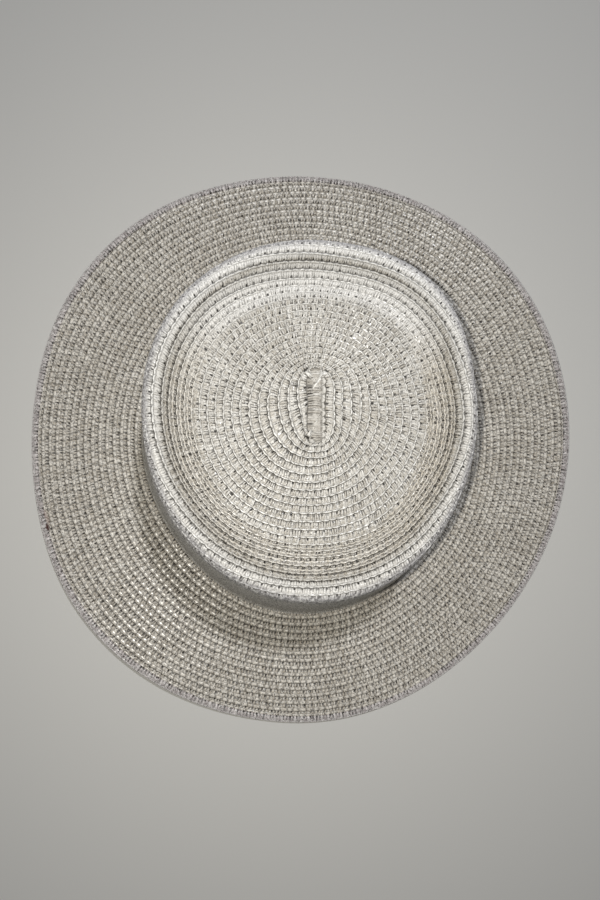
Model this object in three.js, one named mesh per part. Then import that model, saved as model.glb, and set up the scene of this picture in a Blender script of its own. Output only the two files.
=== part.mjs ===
import * as THREE from 'three';

// A wide-brimmed hat of sewn straw braid, resting on its brim.
// Millimetres. +Z is up, the front of the hat is towards -Y, and Z = 0 is the surface it rests on.
// Angles are seen from above, anticlockwise from +X.

// Driving dimensions

// One sewn layer of braid, with the overlap of its rows
const BRAID_WALL = 1.8;
// Clearance kept where two pieces are sewn together
const SEWN_GAP = 0.3;
// Width and thickness of the outermost round, where the braid is doubled over
const EDGE_WIDTH = 4;
const EDGE_THICKNESS = 2.6;
// Share of the brim, from the head opening outwards, that lies flat on the surface
const FLAT_SHARE = 0.2;
// How fast the brim's waves grow from there to the edge
const WAVE_POWER = 1.6;
// Facets round the hat
const STEPS_ROUND = 72;

// Outlines seen from above: half the width across X, half the length along Y,
// and how far the middle of the oval lies behind the middle of the hat.
const CROWN_FOOT = { half_width: 93, half_length: 99.5, middle_back: -0.5 };
const CROWN_TOP = { half_width: 80.2, half_length: 88, middle_back: 1.3 };
const BRIM_RIM = { half_width: 159.3, half_length: 161.3, middle_back: 0 };

// Where the outline of the crown's foot and of its top swells out of its oval, or draws in
// (reach below zero).
const FOOT_SWELLS = [
  { place: 'front, towards -X', at_deg: 222, spread_deg: 48, reach: -2.6 },
];
const TOP_SWELLS = [
  { place: 'back, towards +X', at_deg: 47, spread_deg: 40, reach: 5.4 },
  { place: 'back, towards -X', at_deg: 143, spread_deg: 50, reach: 3.3 },
  { place: 'side towards -X', at_deg: 182, spread_deg: 48, reach: 0.9 },
  { place: 'front, towards +X', at_deg: 332, spread_deg: 45, reach: -1.8 },
];

// The brim's waves: how far each reaches beyond the round rim and how high it lifts off the surface.
const BRIM_WAVES = [
  { place: 'back, towards +X', at_deg: 38, spread_deg: 52, reach: 1.8, lift: 5.5 },
  { place: 'back, towards -X', at_deg: 134, spread_deg: 40, reach: 1.3, lift: 4.5 },
  { place: 'side towards -X', at_deg: 184, spread_deg: 34, reach: -2.8, lift: 0 },
  { place: 'front, towards -X', at_deg: 228, spread_deg: 38, reach: 0.6, lift: 3 },
  { place: 'front, towards +X', at_deg: 318, spread_deg: 50, reach: -4.2, lift: 0 },
];

// The groove round the tip is deeper in these places.
const GROOVE_DIPS = [
  { place: 'side towards +X', at_deg: 0, spread_deg: 60, depth: 1.2 },
  { place: 'back', at_deg: 92, spread_deg: 55, depth: 1.6 },
  { place: 'side towards -X', at_deg: 180, spread_deg: 50, depth: 0.6 },
];

// The crown's outer surface, from the sewn foot up the side wall, over the ridge, down into the
// groove and over the domed tip. radius is the mean radius of the oval there, and facets is the
// number of flat steps from that place to the next.
const CROWN_SECTION = [
  { place: 'foot', radius: 97.6, height: 2.1, facets: 1 },
  { place: 'root curve', radius: 96.4, height: 3.9, facets: 1 },
  { place: 'root curve', radius: 95.5, height: 8, facets: 1 },
  { place: 'side wall', radius: 92.6, height: 24, facets: 1 },
  { place: 'side wall', radius: 89.6, height: 42, facets: 1 },
  { place: 'side wall', radius: 87, height: 58, facets: 1 },
  { place: 'shoulder', radius: 85.3, height: 68.5, facets: 1 },
  { place: 'shoulder', radius: 84.6, height: 73.6, facets: 2 },
  { place: 'shoulder', radius: 82.9, height: 77.2, facets: 2 },
  { place: 'crest of the ridge', radius: 79.9, height: 79, facets: 2 },
  { place: 'slope into the groove', radius: 76.8, height: 77.8, facets: 1 },
  { place: 'slope into the groove', radius: 74, height: 75, facets: 1 },
  { place: 'slope into the groove', radius: 71.2, height: 72.3, facets: 2 },
  { place: 'bottom of the groove', radius: 67.6, height: 70.7, facets: 1 },
  { place: 'bottom of the groove', radius: 62.5, height: 70.4, facets: 2 },
  { place: 'domed tip', radius: 50, height: 72.6, facets: 2 },
  { place: 'domed tip', radius: 34, height: 75.3, facets: 2 },
  { place: 'domed tip', radius: 17, height: 77, facets: 2 },
  { place: 'middle of the tip', radius: 0, height: 77.5, facets: 0 },
];
const MEAN_FOOT_RADIUS = 96.25;
const MEAN_TOP_RADIUS = 85;
const SHOULDER_HEIGHT = 66;
const GROOVE_RADIUS = 66;
const GROOVE_REACH = 11;

// The first strip of braid, from which the rows grow, lies off the middle of the crown.
const TIP_MIDDLE = { towards_x: 0.6, back: 8.9 };

// Heights and radii worked out from the driving dimensions
const BRIM_INNER_RADIUS = MEAN_FOOT_RADIUS - BRAID_WALL;
const BRIM_OUTER_RADIUS = (BRIM_RIM.half_width + BRIM_RIM.half_length) / 2;
const EDGE_INNER_RADIUS = BRIM_OUTER_RADIUS - EDGE_WIDTH;
const CROWN_FOOT_HEIGHT = BRAID_WALL + SEWN_GAP;

// Distance from the hat's middle to an oval, in the direction of an angle.
function ovalReach(oval, angle) {
  const across = Math.cos(angle) / oval.half_width;
  const along = Math.sin(angle) / oval.half_length;
  return 1 / Math.hypot(across, along) + oval.middle_back * Math.sin(angle);
}

// Sum of one column of a table of swells at an angle; each row fades out over its spread.
function swell(rows, column, angle) {
  let total = 0;
  for (const row of rows) {
    const turn = THREE.MathUtils.radToDeg(angle) - row.at_deg;
    const away = Math.abs(THREE.MathUtils.euclideanModulo(turn + 180, 360) - 180);
    const share = Math.min(away / row.spread_deg, 1);
    total += row[column] * 0.5 * (1 + Math.cos(Math.PI * share));
  }
  return total;
}

function crownFootReach(angle) {
  return ovalReach(CROWN_FOOT, angle) + swell(FOOT_SWELLS, 'reach', angle);
}

function crownTopReach(angle) {
  return ovalReach(CROWN_TOP, angle) + swell(TOP_SWELLS, 'reach', angle);
}

function rimReach(angle) {
  return ovalReach(BRIM_RIM, angle) + swell(BRIM_WAVES, 'reach', angle);
}

// Moves every vertex of a turned shape. bend gets the vertex's radius, angle and height,
// and gives back its new place.
function bendRound(geometry, bend) {
  const positions = geometry.attributes.position;
  for (let i = 0; i < positions.count; i += 1) {
    const x = positions.getX(i);
    const y = positions.getY(i);
    const place = bend(Math.hypot(x, y), Math.atan2(y, x), positions.getZ(i));
    positions.setXYZ(i, place.x, place.y, place.z);
  }
  geometry.computeVertexNormals();
  return geometry;
}

// A section turned round the Z axis. The section runs from the axis to the axis, or closes on itself.
function turned(section) {
  return new THREE.LatheGeometry(section, STEPS_ROUND).rotateX(Math.PI / 2);
}

function named(name, geometry, material) {
  const mesh = new THREE.Mesh(geometry, material);
  mesh.name = name;
  return mesh;
}

// The places along the crown's outer curve, from 0 at the foot to 1 at the middle of the tip,
// where its facets meet.
function crownStations() {
  const gaps = CROWN_SECTION.length - 1;
  const stations = [];
  CROWN_SECTION.forEach((row, index) => {
    for (let step = 0; step < row.facets; step += 1) {
      stations.push((index + step / row.facets) / gaps);
    }
  });
  stations.push(1);
  return stations;
}

// The inside of the wall at a place on the curve: the outer point moved in by the wall's thickness.
function insideOf(curve, station) {
  const outer = curve.getPoint(station);
  const along = curve.getTangent(station);
  return new THREE.Vector2(outer.x - along.y * BRAID_WALL, outer.y + along.x * BRAID_WALL);
}

// The crown's closed section: along the inside from the tip down to the foot, across the foot,
// and up the outside back to the middle of the tip.
function crownSection() {
  const curve = new THREE.SplineCurve(CROWN_SECTION.map((row) => new THREE.Vector2(row.radius, row.height)));
  const stations = crownStations();
  const outside = stations.map((station) => curve.getPoint(station));
  const inside = stations.map((station) => insideOf(curve, station));
  const insideWall = inside.filter((point) => point.y > CROWN_FOOT_HEIGHT + BRAID_WALL);
  outside[outside.length - 1].x = 0;
  insideWall[insideWall.length - 1].x = 0;
  const footInside = new THREE.Vector2(BRIM_INNER_RADIUS, CROWN_FOOT_HEIGHT);
  return [...insideWall.reverse(), footInside, ...outside];
}

// Gives the turned crown its ovals, its deeper stretches of groove and the place of its middle.
function bendCrown(radius, angle, height) {
  const rise = THREE.MathUtils.clamp((height - CROWN_FOOT_HEIGHT) / (SHOULDER_HEIGHT - CROWN_FOOT_HEIGHT), 0, 1);
  const footScale = crownFootReach(angle) / MEAN_FOOT_RADIUS;
  const topScale = crownTopReach(angle) / MEAN_TOP_RADIUS;
  const reach = radius * THREE.MathUtils.lerp(footScale, topScale, rise);
  const toMiddle = Math.max(0, 1 - radius / GROOVE_RADIUS) ** 2;
  const inGroove = Math.max(0, 1 - ((radius - GROOVE_RADIUS) / GROOVE_REACH) ** 2);
  return new THREE.Vector3(
    reach * Math.cos(angle) + toMiddle * TIP_MIDDLE.towards_x,
    reach * Math.sin(angle) + toMiddle * TIP_MIDDLE.back,
    height - inGroove * swell(GROOVE_DIPS, 'depth', angle),
  );
}

function makeCrown(material) {
  return named('crown', bendRound(turned(crownSection()), bendCrown), material);
}

// Gives the turned brim, and its edge round, the oval of the head opening inside,
// the rim's outline outside and the waves between them.
function bendBrim(radius, angle, height) {
  const share = (radius - BRIM_INNER_RADIUS) / (BRIM_OUTER_RADIUS - BRIM_INNER_RADIUS);
  const opening = crownFootReach(angle) * BRIM_INNER_RADIUS / MEAN_FOOT_RADIUS;
  const reach = THREE.MathUtils.lerp(opening, rimReach(angle), share);
  const raised = Math.max(0, (share - FLAT_SHARE) / (1 - FLAT_SHARE)) ** WAVE_POWER;
  return new THREE.Vector3(
    reach * Math.cos(angle),
    reach * Math.sin(angle),
    height + raised * swell(BRIM_WAVES, 'lift', angle),
  );
}

// The brim's section: out along the underside, back along the top, closed at the head opening.
function brimSection() {
  const outer = EDGE_INNER_RADIUS - SEWN_GAP;
  const flat = BRIM_INNER_RADIUS + FLAT_SHARE * (BRIM_OUTER_RADIUS - BRIM_INNER_RADIUS);
  const radii = [BRIM_INNER_RADIUS, flat];
  const waveSteps = 5;
  for (let i = 1; i <= waveSteps; i += 1) {
    radii.push(flat + (outer - flat) * i / waveSteps);
  }
  const under = radii.map((radius) => new THREE.Vector2(radius, 0));
  const top = radii.map((radius) => new THREE.Vector2(radius, BRAID_WALL)).reverse();
  return [...under, ...top, under[0].clone()];
}

function makeBrim(material) {
  return named('brim', bendRound(turned(brimSection()), bendBrim), material);
}

// The edge round's section: a flat loop of braid with rounded corners.
function edgeSection() {
  const corner = EDGE_THICKNESS / 3;
  const inner = EDGE_INNER_RADIUS;
  const outer = BRIM_OUTER_RADIUS;
  const points = [
    new THREE.Vector2(inner, 0),
    new THREE.Vector2(outer - corner, 0),
    new THREE.Vector2(outer, corner),
    new THREE.Vector2(outer, EDGE_THICKNESS - corner),
    new THREE.Vector2(outer - corner, EDGE_THICKNESS),
    new THREE.Vector2(inner + corner, EDGE_THICKNESS),
    new THREE.Vector2(inner, EDGE_THICKNESS - corner),
  ];
  return [...points, points[0].clone()];
}

function makeBrimEdge(material) {
  return named('brim_edge', bendRound(turned(edgeSection()), bendBrim), material);
}

// Sewn straw braid: pale cream where the crown catches the light, greige on the brim.
const crownStraw = new THREE.MeshStandardMaterial({ color: 0xd3c9b8, roughness: 0.62, metalness: 0 });
const brimStraw = new THREE.MeshStandardMaterial({ color: 0xb5aa9a, roughness: 0.62, metalness: 0 });
const edgeStraw = new THREE.MeshStandardMaterial({ color: 0xaba095, roughness: 0.6, metalness: 0 });

const hat = new THREE.Group();
hat.add(makeCrown(crownStraw));
hat.add(makeBrim(brimStraw));
hat.add(makeBrimEdge(edgeStraw));

// The origin is under the middle of the hat's outline.
const middle = new THREE.Box3().setFromObject(hat).getCenter(new THREE.Vector3());
hat.position.set(-middle.x, -middle.y, 0);

export default hat;
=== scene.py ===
"""A wide straw hat of sewn braid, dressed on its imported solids.

One long braid starts as a short straight strip in the middle of the tip. It turns round that strip,
runs outwards over the tip, the groove and the ridge, down the side and out over the brim, and each
round lies over the start of the next one. A doubled round of the same braid finishes the edge.
"""
import logging
import math
from dataclasses import dataclass, field
from enum import Enum
from typing import Any, Sequence

import bmesh
import bpy
import numpy as np
from bpy.types import Material, Mesh, Node, NodeSocket, NodeTree, Object
from mathutils import Matrix, Vector


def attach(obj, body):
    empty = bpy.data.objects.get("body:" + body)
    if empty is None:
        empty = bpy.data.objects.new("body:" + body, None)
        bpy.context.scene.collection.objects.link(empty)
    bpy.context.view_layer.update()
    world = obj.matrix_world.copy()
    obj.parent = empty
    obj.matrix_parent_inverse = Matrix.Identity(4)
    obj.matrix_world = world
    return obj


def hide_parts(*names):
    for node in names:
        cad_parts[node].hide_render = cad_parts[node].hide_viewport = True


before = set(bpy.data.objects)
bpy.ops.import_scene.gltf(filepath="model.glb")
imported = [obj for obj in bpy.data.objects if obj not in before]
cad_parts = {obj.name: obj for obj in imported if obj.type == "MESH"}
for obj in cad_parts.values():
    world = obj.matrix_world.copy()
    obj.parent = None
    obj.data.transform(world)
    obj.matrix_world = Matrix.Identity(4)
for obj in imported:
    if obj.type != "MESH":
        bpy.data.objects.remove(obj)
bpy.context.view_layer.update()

LOG = logging.getLogger("straw_hat")
MM = 0.001
FULL_TURN = 2 * math.pi
# one repeat of the plait along the braid, and the usual distance from round to round, in millimetres
TILE = 3.75
ROUND = 3.9


# ---- colours and nodes


def linear(colour: str) -> tuple[float, float, float, float]:
    """Turns an sRGB hex colour into the linear one that shaders use.

    Args:
        colour: Six hex digits, with or without a leading hash.

    Returns:
        Linear red, green, blue and an alpha of 1.
    """
    digits = colour.lstrip("#")
    parts = [int(digits[i : i + 2], 16) / 255 for i in (0, 2, 4)]
    red, green, blue = (p / 12.92 if p <= 0.04045 else ((p + 0.055) / 1.055) ** 2.4 for p in parts)
    return red, green, blue, 1.0


def add_node(
    tree: NodeTree, kind: str, inputs: dict[Any, Any] | Sequence[Any] = (), **settings: Any
) -> Node:
    """Adds a node with its settings, and sets or links its inputs.

    Args:
        tree: The node tree that gets the node.
        kind: The node's type, such as "ShaderNodeMath".
        inputs: Values, amounts or sockets, by input name or index, or in order.
        **settings: Properties of the node.

    Returns:
        The new node.
    """
    node = tree.nodes.new(kind)
    for name, value in settings.items():
        setattr(node, name, value)
    pairs = inputs.items() if isinstance(inputs, dict) else enumerate(inputs)
    for key, value in pairs:
        source = value.socket if isinstance(value, Amount) else value
        if isinstance(source, NodeSocket):
            tree.links.new(source, node.inputs[key])
        else:
            node.inputs[key].default_value = source
    return node


@dataclass(frozen=True)
class Amount:
    """How much of something there is at each place on a finish, reckoned with like a number.

    Each sum, product or step adds one node to the finish's tree, and `a | b` is the greater of two.
    """

    tree: NodeTree
    socket: NodeSocket

    def worked(self, operation: str, *others: Any) -> "Amount":
        """Works one operation out on this amount and others."""
        return Amount(self.tree, add_node(self.tree, "ShaderNodeMath", (self, *others), operation=operation).outputs[0])

    def __add__(self, other: Any) -> "Amount":
        """This amount and another one together."""
        return self.worked("ADD", other)

    def __sub__(self, other: Any) -> "Amount":
        """This amount less another one."""
        return self.worked("SUBTRACT", other)

    def __rsub__(self, other: float) -> "Amount":
        """A number less this amount."""
        return Amount(self.tree, add_node(self.tree, "ShaderNodeMath", (other, self), operation="SUBTRACT").outputs[0])

    def __mul__(self, other: Any) -> "Amount":
        """This amount times another one."""
        return self.worked("MULTIPLY", other)

    def __truediv__(self, other: Any) -> "Amount":
        """This amount over another one."""
        return self.worked("DIVIDE", other)

    def __or__(self, other: Any) -> "Amount":
        """The greater of this amount and another one."""
        return self.worked("MAXIMUM", other)

    def __abs__(self) -> "Amount":
        """This amount without its sign."""
        return self.worked("ABSOLUTE")

    def step(self, low: Any, high: Any, start: float = 0.0, end: float = 1.0, soft: bool = True) -> "Amount":
        """Steps from one value to another while this amount goes from a low to a high limit.

        Args:
            low: Where the step begins, which may be above where it ends.
            high: Where the step ends.
            start: The result at the low limit.
            end: The result at the high limit.
            soft: Whether the step is rounded at both ends.

        Returns:
            The step.
        """
        inputs = {"Value": self, "From Min": low, "From Max": high, "To Min": start, "To Max": end}
        kind = "SMOOTHSTEP" if soft else "LINEAR"
        node = add_node(self.tree, "ShaderNodeMapRange", inputs, interpolation_type=kind)
        return Amount(self.tree, node.outputs[0])

    def spread(self, start: float, end: float) -> "Amount":
        """Spreads an amount from 0 to 1 evenly between two values."""
        return self.step(0.0, 1.0, start, end, soft=False)


# ---- the hat's form, with the sizes of its solids


@dataclass(frozen=True)
class Oval:
    """An oval seen from above, in millimetres about the hat's middle."""

    half_width: float
    half_length: float
    middle_back: float

    def reach(self, angle: np.ndarray) -> np.ndarray:
        """How far the oval reaches at each angle."""
        across = np.hypot(np.cos(angle) / self.half_width, np.sin(angle) / self.half_length)
        return 1 / across + self.middle_back * np.sin(angle)


@dataclass(frozen=True)
class Swell:
    """A soft bulge or dent round one direction of the hat, in millimetres."""

    at_deg: float
    spread_deg: float
    reach: float = 0.0
    lift: float = 0.0
    depth: float = 0.0

    def share(self, angle: np.ndarray) -> np.ndarray:
        """How much of the swell is felt at each angle, from 0 to 1."""
        away = np.abs((np.degrees(angle) - self.at_deg + 180) % 360 - 180)
        return 0.5 * (1 + np.cos(math.pi * np.minimum(away / self.spread_deg, 1)))


def summed(swells: Sequence[Swell], column: str, angle: np.ndarray) -> np.ndarray:
    """Adds up the "reach", "lift" or "depth" of several swells at each direction, in millimetres."""
    return sum(getattr(one, column) * one.share(np.asarray(angle, float)) for one in swells)


def spline(points: Sequence[tuple[float, float]], steps: int) -> np.ndarray:
    """A smooth curve through points, the same one that the solids' section follows.

    Args:
        points: Pairs of radius and height.
        steps: Places on each stretch between two points.

    Returns:
        Places along the curve, from the last point to the first.
    """
    given = np.array(points, float)
    last = len(given) - 1
    share = (np.arange(steps) / steps)[:, None]
    found = []
    for i in range(last):
        before, here, there, after = (given[min(max(k, 0), last)] for k in (i - 1, i, i + 1, i + 2))
        leave, arrive = (there - before) / 2, (after - here) / 2
        cubic = 2 * here - 2 * there + leave + arrive
        square = -3 * here + 3 * there - 2 * leave - arrive
        found.append(cubic * share**3 + square * share**2 + leave * share + here)
    found.append(given[-1:])
    return np.concatenate(found)[::-1]


@dataclass(frozen=True)
class HatForm:
    """The outer surfaces of the crown and the brim, in millimetres, as the solids have them."""

    wall: float = 1.8
    sewn_gap: float = 0.3
    edge_width: float = 4.0
    edge_thickness: float = 2.6
    crown_foot: Oval = Oval(93, 99.5, -0.5)
    crown_top: Oval = Oval(80.2, 88, 1.3)
    brim_rim: Oval = Oval(159.3, 161.3, 0)
    foot_swells: tuple[Swell, ...] = (Swell(222, 48, reach=-2.6),)
    top_swells: tuple[Swell, ...] = (
        Swell(47, 40, reach=5.4),
        Swell(143, 50, reach=3.3),
        Swell(182, 48, reach=0.9),
        Swell(332, 45, reach=-1.8),
    )
    brim_waves: tuple[Swell, ...] = (
        Swell(38, 52, reach=1.8, lift=5.5),
        Swell(134, 40, reach=1.3, lift=4.5),
        Swell(184, 34, reach=-2.8),
        Swell(228, 38, reach=0.6, lift=3),
        Swell(318, 50, reach=-4.2),
    )
    groove_dips: tuple[Swell, ...] = (Swell(0, 60, depth=1.2), Swell(92, 55, depth=1.6), Swell(180, 50, depth=0.6))
    section: tuple[tuple[float, float], ...] = (
        (97.6, 2.1), (96.4, 3.9), (95.5, 8), (92.6, 24), (89.6, 42), (87, 58), (85.3, 68.5), (84.6, 73.6),
        (82.9, 77.2), (79.9, 79), (76.8, 77.8), (74, 75), (71.2, 72.3), (67.6, 70.7), (62.5, 70.4), (50, 72.6),
        (34, 75.3), (17, 77), (0, 77.5),
    )
    foot_radius: float = 96.25
    top_radius: float = 85.0
    shoulder_height: float = 66.0
    groove_radius: float = 66.0
    groove_reach: float = 11.0
    tip_middle: tuple[float, float] = (0.6, 8.9)
    flat_share: float = 0.2
    wave_power: float = 1.6
    moved: tuple[float, float, float] = (-1.3744, -0.0083, 0.0)
    profile: np.ndarray = field(init=False, repr=False)
    down: np.ndarray = field(init=False, repr=False)

    def __post_init__(self) -> None:
        """Lays out the section and how far each place is down it from the middle of the tip."""
        profile = spline(self.section, 40)
        lengths = np.hypot(*np.diff(profile, axis=0).T)
        object.__setattr__(self, "profile", profile)
        object.__setattr__(self, "down", np.concatenate([[0], np.cumsum(lengths)]))

    @property
    def foot_down(self) -> float:
        """How far down the section the crown's foot is."""
        return float(self.down[-1])

    @property
    def brim_inner(self) -> float:
        """The brim's inner radius."""
        return self.foot_radius - self.wall

    @property
    def brim_outer(self) -> float:
        """The edge round's outer radius."""
        return (self.brim_rim.half_width + self.brim_rim.half_length) / 2

    def foot_reach(self, angle: np.ndarray) -> np.ndarray:
        """How far the crown's foot reaches."""
        return self.crown_foot.reach(angle) + summed(self.foot_swells, "reach", angle)

    def top_reach(self, angle: np.ndarray) -> np.ndarray:
        """How far the crown's top reaches."""
        return self.crown_top.reach(angle) + summed(self.top_swells, "reach", angle)

    def rim_reach(self, angle: np.ndarray) -> np.ndarray:
        """How far the brim's rim reaches."""
        return self.brim_rim.reach(angle) + summed(self.brim_waves, "reach", angle)

    def crown(self, down: np.ndarray, angle: np.ndarray) -> np.ndarray:
        """Places on the crown's outer surface.

        Args:
            down: How far down the section, from the middle of the tip.
            angle: Direction in radians.

        Returns:
            Points, one row each.
        """
        radius = np.interp(down, self.down, self.profile[:, 0])
        height = np.interp(down, self.down, self.profile[:, 1])
        low = self.wall + self.sewn_gap
        rise = np.clip((height - low) / (self.shoulder_height - low), 0, 1)
        foot = self.foot_reach(angle) / self.foot_radius
        top = self.top_reach(angle) / self.top_radius
        reach = radius * (foot * (1 - rise) + top * rise)
        to_middle = np.maximum(0, 1 - radius / self.groove_radius) ** 2
        in_groove = np.maximum(0, 1 - ((radius - self.groove_radius) / self.groove_reach) ** 2)
        x = reach * np.cos(angle) + to_middle * self.tip_middle[0]
        y = reach * np.sin(angle) + to_middle * self.tip_middle[1]
        z = height - in_groove * summed(self.groove_dips, "depth", angle)
        return np.stack([x, y, z], -1) + self.moved

    def brim(self, radius: np.ndarray, angle: np.ndarray, height: float | np.ndarray) -> np.ndarray:
        """Places on the brim, or over it.

        Args:
            radius: Radius before the rim's shape is felt.
            angle: Direction in radians.
            height: Height before the brim's waves are felt.

        Returns:
            Points, one row each.
        """
        share = (radius - self.brim_inner) / (self.brim_outer - self.brim_inner)
        inner = self.foot_reach(angle) * self.brim_inner / self.foot_radius
        reach = inner * (1 - share) + self.rim_reach(angle) * share
        raised = np.maximum(0, (share - self.flat_share) / (1 - self.flat_share)) ** self.wave_power
        z = height + raised * summed(self.brim_waves, "lift", angle)
        return np.stack([reach * np.cos(angle), reach * np.sin(angle), z], -1) + self.moved


class Ground(Enum):
    """Which surface a braid is laid on."""

    CROWN = "crown"
    BRIM = "brim"


@dataclass(frozen=True)
class LaidSurface:
    """A surface of the hat opened out flat, so that a braid can be laid on it.

    A place is given as x and y on the opened surface: its direction is the hat's own, and its distance
    from the origin is the way down the crown's section, or the brim's radius.
    """

    form: HatForm
    ground: Ground

    def point(self, x: np.ndarray, y: np.ndarray) -> np.ndarray:
        """Places on the surface for places on the opened sheet."""
        away, angle = np.hypot(x, y), np.arctan2(y, x)
        if self.ground is Ground.CROWN:
            return self.form.crown(np.minimum(away, self.form.foot_down), angle)
        return self.form.brim(away, angle, self.form.wall)

    def raised(self, x: np.ndarray, y: np.ndarray, height: np.ndarray) -> np.ndarray:
        """Places over the surface, along its normal.

        Args:
            x: First coordinate on the opened sheet.
            y: Second coordinate on the opened sheet.
            height: Height over the surface.

        Returns:
            Points, one row each.
        """
        step = 0.35
        away = np.maximum(np.hypot(x, y), 1e-6)
        limit = self.form.foot_down - step if self.ground is Ground.CROWN else 1e9
        pull = np.minimum(1, limit / away)
        nx, ny = x * pull, y * pull
        along = self.point(nx + step, ny) - self.point(nx - step, ny)
        across = self.point(nx, ny + step) - self.point(nx, ny - step)
        normal = np.cross(along, across)
        normal /= np.linalg.norm(normal, axis=1, keepdims=True)
        return self.point(x, y) + normal * height[:, None]


# ---- where the rounds of braid lie


@dataclass(frozen=True)
class RoundPlaces:
    """Where some rounds end in one direction, as the way down the crown's section in millimetres.

    Rounds are numbered from the start strip. The second value is the number of the round, with its
    part, that lies on the silhouette.
    """

    known: tuple[float, ...]
    on_shoulder: float


KNOWN_ROUNDS = (5, 8, 11, 14, 16, 18)
# by direction in degrees against the clock, from the hat's right
ROUND_PLACES = {
    0: RoundPlaces((19.25, 33.5, 46.5, 60.4, 67.9, 75.0), 20.3),
    45: RoundPlaces((22.25, 32.25, 43.8, 55.2, 62.8, 70.0), 22.1),
    90: RoundPlaces((24.2, 33.75, 44.2, 55.2, 62.1, 68.6), 22.5),
    135: RoundPlaces((20.7, 32.25, 44.5, 56.7, 65.1, 72.4), 21.0),
    180: RoundPlaces((24.0, 37.6, 49.8, 61.9, 69.0, 77.1), 19.57),
    225: RoundPlaces((24.0, 35.75, 46.25, 58.2, 64.6, 70.8), 21.45),
    270: RoundPlaces((22.5, 32.5, 42.0, 52.7, 59.5, 65.3), 23.4),
    315: RoundPlaces((20.5, 31.75, 43.4, 55.4, 63.3, 69.2), 22.25),
}
DIRECTIONS = len(ROUND_PLACES)
# how far down the silhouette lies, and how many rounds there are from the strip to the crown's foot
SHOULDER_DOWN = 86.0
ROUNDS_TO_FOOT = 40.4


@dataclass(frozen=True)
class StartStrip:
    """The short straight strip of braid that the spiral starts from, on the opened sheet, in millimetres.

    It lies a little lower than the rounds, and its ends drop under the first ones.
    """

    left: float = -4.1
    right: float = 4.8
    front: float = -14.9
    back: float = 17.5
    margin: float = 6.0
    steps: int = 500
    sunk: float = 0.03
    end_drop: float = 0.5
    drop_begins: float = 0.2
    drop_over: float = 1.2


@dataclass(frozen=True)
class FirstRounds:
    """The rounds close to the start strip, which are long ovals.

    Each row gives a number of turns and the oval's reach there: half widths are felt at whole and half
    turns, half lengths between them. The ovals start square and grow rounder.
    """

    half_widths: tuple[tuple[float, float], ...] = (
        (0.5, 4.8), (1, 4.1), (1.5, 4.8), (1.72, 4.8), (2, 9.1), (2.5, 9.8), (3, 14.0), (3.5, 13.8), (4, 18.7),
        (4.5, 18.9), (5, 24.0), (5.5, 24.0), (6, 28.5),
    )
    half_lengths: tuple[tuple[float, float], ...] = (
        (0.25, 17.5), (0.75, 14.9), (1.25, 18.6), (1.75, 16.6), (2.25, 20.1), (2.75, 17.8), (3.25, 22.2), (3.75, 20.3),
        (4.25, 24.2), (4.75, 22.6), (5.25, 27.3), (5.75, 26.0),
    )
    squareness: tuple[tuple[float, float], ...] = ((1.6, 3.4), (2.2, 2.3), (4, 2.05))

    def place(self, turn: np.ndarray, angle: np.ndarray) -> np.ndarray:
        """How far out the first rounds' outer edge is after each number of turns."""
        across = np.abs(np.cos(angle)) / np.interp(turn, *zip(*self.half_widths))
        along = np.abs(np.sin(angle)) / np.interp(turn, *zip(*self.half_lengths))
        power = np.interp(turn, *zip(*self.squareness))
        return (across**power + along**power) ** (-1 / power)


def through(values: np.ndarray, place: np.ndarray) -> np.ndarray:
    """Reads a smooth curve through evenly spaced values.

    Args:
        values: The values, at places 0, 1, 2 and so on.
        place: Where to read.

    Returns:
        The curve's values there.
    """
    last = len(values) - 1
    here = np.clip(np.floor(place).astype(int), 0, last - 1)
    share = place - here
    v0, v1, v2, v3 = (values[np.clip(here + k, 0, last)] for k in (-1, 0, 1, 2))
    leave, arrive = (v2 - v0) / 2, (v3 - v1) / 2
    return (
        (2 * v1 - 2 * v2 + leave + arrive) * share**3
        + (-3 * v1 + 3 * v2 - 2 * leave - arrive) * share**2
        + leave * share
        + v1
    )


def direction(turn: np.ndarray) -> np.ndarray:
    """The direction in radians that the spiral has reached after a number of turns."""
    return math.pi - FULL_TURN * turn


@dataclass(frozen=True)
class CrownRounds:
    """How far down the crown each turn of the spiral's outer edge lies."""

    form: HatForm
    begun: FirstRounds = FirstRounds()
    first: float = 1.75
    begun_until: float = 4.6
    mixed_over: float = 0.8
    pitch_past_foot: float = 4.0

    @property
    def last(self) -> float:
        """The turn at which the braid has run out against the foot."""
        return ROUNDS_TO_FOOT + 1

    def place(self, turn: np.ndarray) -> np.ndarray:
        """The outer edge's way down the section after each number of turns."""
        # the spiral reaches each direction a part of a turn later, so its rounds are counted with that part
        values = []
        foot = self.form.foot_down
        for k in range(int(DIRECTIONS * (self.last + 2))):
            column = -k % DIRECTIONS
            part = column / DIRECTIONS
            row = ROUND_PLACES[(180 + 360 * column // DIRECTIONS) % 360]
            number = k / DIRECTIONS + part
            rounds = [*KNOWN_ROUNDS, row.on_shoulder, ROUNDS_TO_FOOT + part]
            past = self.pitch_past_foot * max(0.0, number - rounds[-1])
            values.append(np.interp(number, rounds, [*row.known, SHOULDER_DOWN, foot]) + past)
        begun = self.begun.place(turn, direction(turn))
        later = through(np.array(values), turn * DIRECTIONS)
        mix = np.clip((turn - self.begun_until) / self.mixed_over, 0, 1)
        mix = mix * mix * (3 - 2 * mix)
        return begun * (1 - mix) + later * mix

    def limits(self) -> tuple[float, float]:
        """The least and the greatest place that the braid covers."""
        return 0.0, self.form.foot_down


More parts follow.
